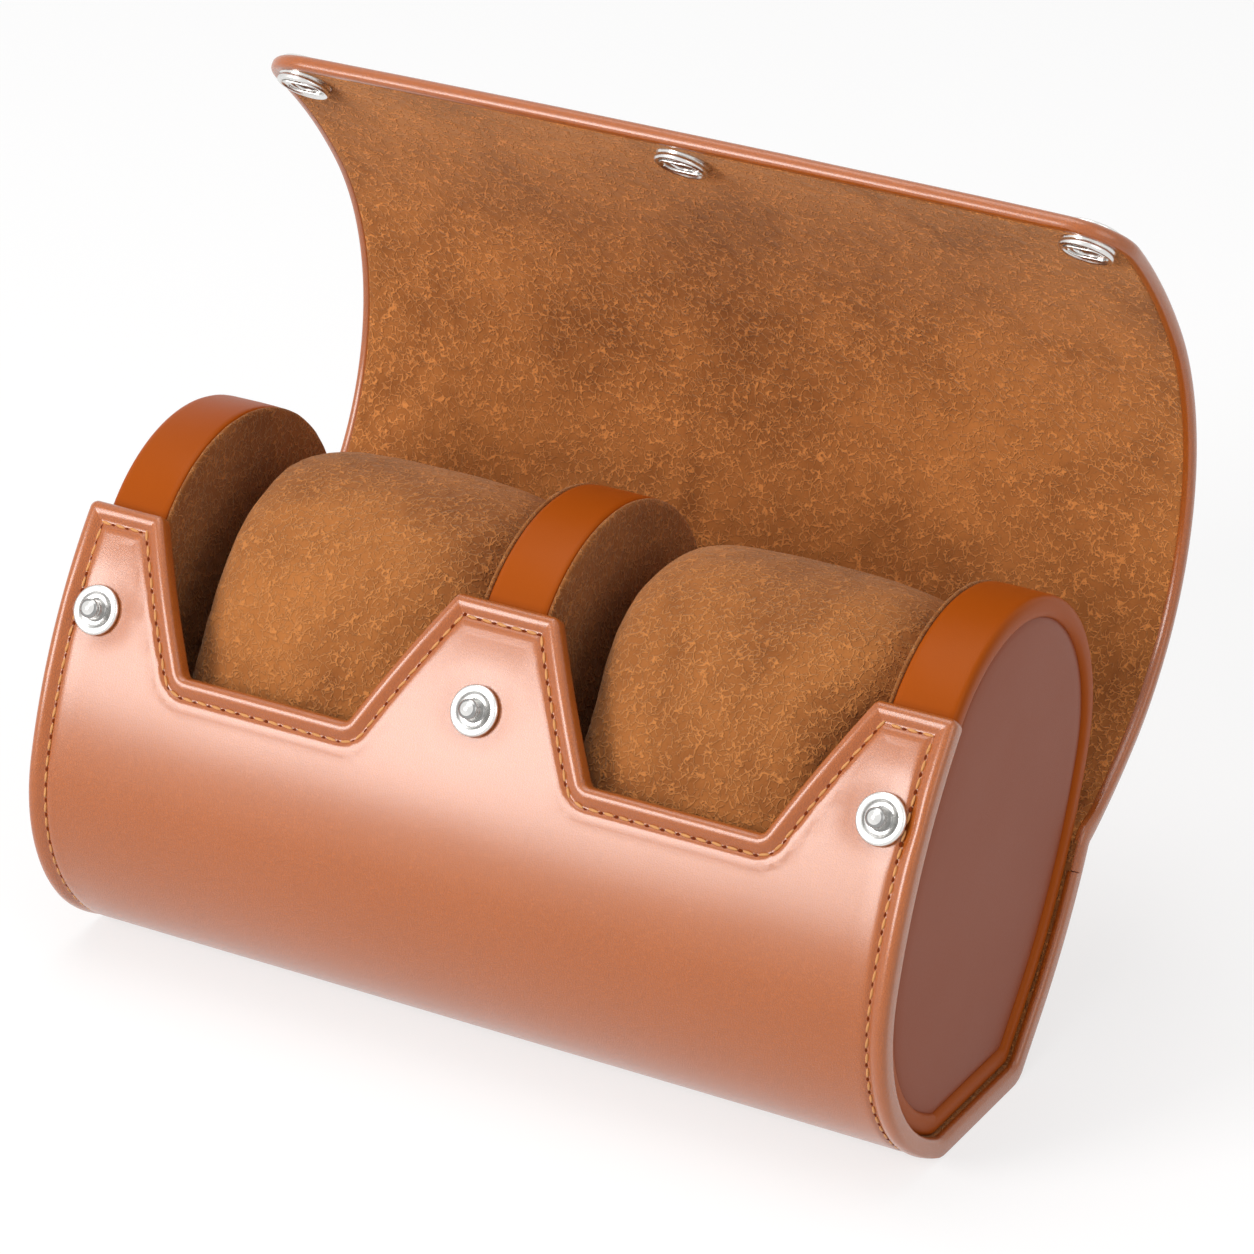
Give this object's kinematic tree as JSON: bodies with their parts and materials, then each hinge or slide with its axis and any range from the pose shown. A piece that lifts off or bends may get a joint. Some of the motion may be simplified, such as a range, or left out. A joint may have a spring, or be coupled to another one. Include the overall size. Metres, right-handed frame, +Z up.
{
  "type": "watch roll",
  "caption": "Oval leather travel roll with two suede cushions in separate slots, a notched front and a curling snap-down flap.",
  "frame": {"origin": "on the flattened base that the roll rests on, straight below the centre of its oval section and midway along its length", "axes": "+X along the roll towards its right-hand end seen from the front, +Y towards the flap at the back, +Z up"},
  "size_m": [0.18, 0.1199, 0.1571],
  "materials": {
    "tan_leather": "satin",
    "band_leather": "satin",
    "end_leather": "satin",
    "suede": "matte",
    "board": "matte",
    "panel_core": "matte",
    "foam": "matte",
    "nickel": "polished"
  },
  "bodies": {
    "case": {"wrap_leather": "tan_leather", "wrap_board": "board", "wrap_lining": "suede", "snap_studs": "nickel", "stud_rivets": "nickel", "divider_core": "panel_core", "divider_band": "band_leather", "divider_suede_left": "suede", "divider_suede_right": "suede", "end_panel_core_left": "panel_core", "end_panel_band_left": "band_leather", "end_panel_face_left": "end_leather", "end_panel_suede_left": "suede", "cushion_foam_left": "foam", "cushion_cover_left": "suede", "end_panel_core_right": "panel_core", "end_panel_band_right": "band_leather", "end_panel_face_right": "end_leather", "end_panel_suede_right": "suede", "cushion_foam_right": "foam", "cushion_cover_right": "suede"},
    "flap_1": {"flap_leather_1": "tan_leather", "flap_lining_1": "suede"},
    "flap_2": {"flap_leather_2": "tan_leather", "flap_lining_2": "suede"},
    "flap_3": {"flap_leather_3": "tan_leather", "flap_lining_3": "suede"},
    "flap_4": {"flap_leather_4": "tan_leather", "flap_lining_4": "suede"},
    "flap_5": {"flap_leather_5": "tan_leather", "flap_lining_5": "suede"},
    "flap_6": {"flap_leather_6": "tan_leather", "flap_lining_6": "suede"},
    "flap_7": {"flap_leather_7": "tan_leather", "flap_lining_7": "suede"},
    "flap_8": {"flap_leather_8": "tan_leather", "flap_lining_8": "suede", "snap_sockets": "nickel", "snap_caps": "nickel"}
  },
  "joints": [
    {"name": "flap_fold", "type": "hinge", "parent": "case", "child": "flap_1", "pos_m": [0, 0.03614, 0.03681], "axis": [1, 0, 0], "range_deg": [-20, 37]},
    {"name": "flap_curl_1", "type": "hinge", "parent": "flap_1", "child": "flap_2", "pos_m": [0, 0.05374, 0.05158], "axis": [1, 0, 0], "range_deg": [-4.6, 8.51]},
    {"name": "flap_curl_2", "type": "hinge", "parent": "flap_2", "child": "flap_3", "pos_m": [0, 0.06297, 0.0614], "axis": [1, 0, 0], "range_deg": [-3.94, 7.28]},
    {"name": "flap_curl_3", "type": "hinge", "parent": "flap_3", "child": "flap_4", "pos_m": [0, 0.06958, 0.07315], "axis": [1, 0, 0], "range_deg": [-3.94, 7.28]},
    {"name": "flap_curl_4", "type": "hinge", "parent": "flap_4", "child": "flap_5", "pos_m": [0, 0.0732, 0.08613], "axis": [1, 0, 0], "range_deg": [-3.94, 7.28]},
    {"name": "flap_curl_5", "type": "hinge", "parent": "flap_5", "child": "flap_6", "pos_m": [0, 0.07361, 0.0996], "axis": [1, 0, 0], "range_deg": [-3.94, 7.28]},
    {"name": "flap_curl_6", "type": "hinge", "parent": "flap_6", "child": "flap_7", "pos_m": [0, 0.07079, 0.11278], "axis": [1, 0, 0], "range_deg": [-3.94, 7.28]},
    {"name": "flap_tip", "type": "hinge", "parent": "flap_7", "child": "flap_8", "pos_m": [0, 0.06489, 0.12491], "axis": [1, 0, 0], "range_deg": [-8, 18.31]}
  ],
  "couplings": [
    {"joint": "flap_curl_1", "follows": "flap_fold", "ratio": 0.23003},
    {"joint": "flap_curl_2", "follows": "flap_fold", "ratio": 0.19678},
    {"joint": "flap_curl_3", "follows": "flap_fold", "ratio": 0.19678},
    {"joint": "flap_curl_4", "follows": "flap_fold", "ratio": 0.19678},
    {"joint": "flap_curl_5", "follows": "flap_fold", "ratio": 0.19678},
    {"joint": "flap_curl_6", "follows": "flap_fold", "ratio": 0.19678}
  ]
}
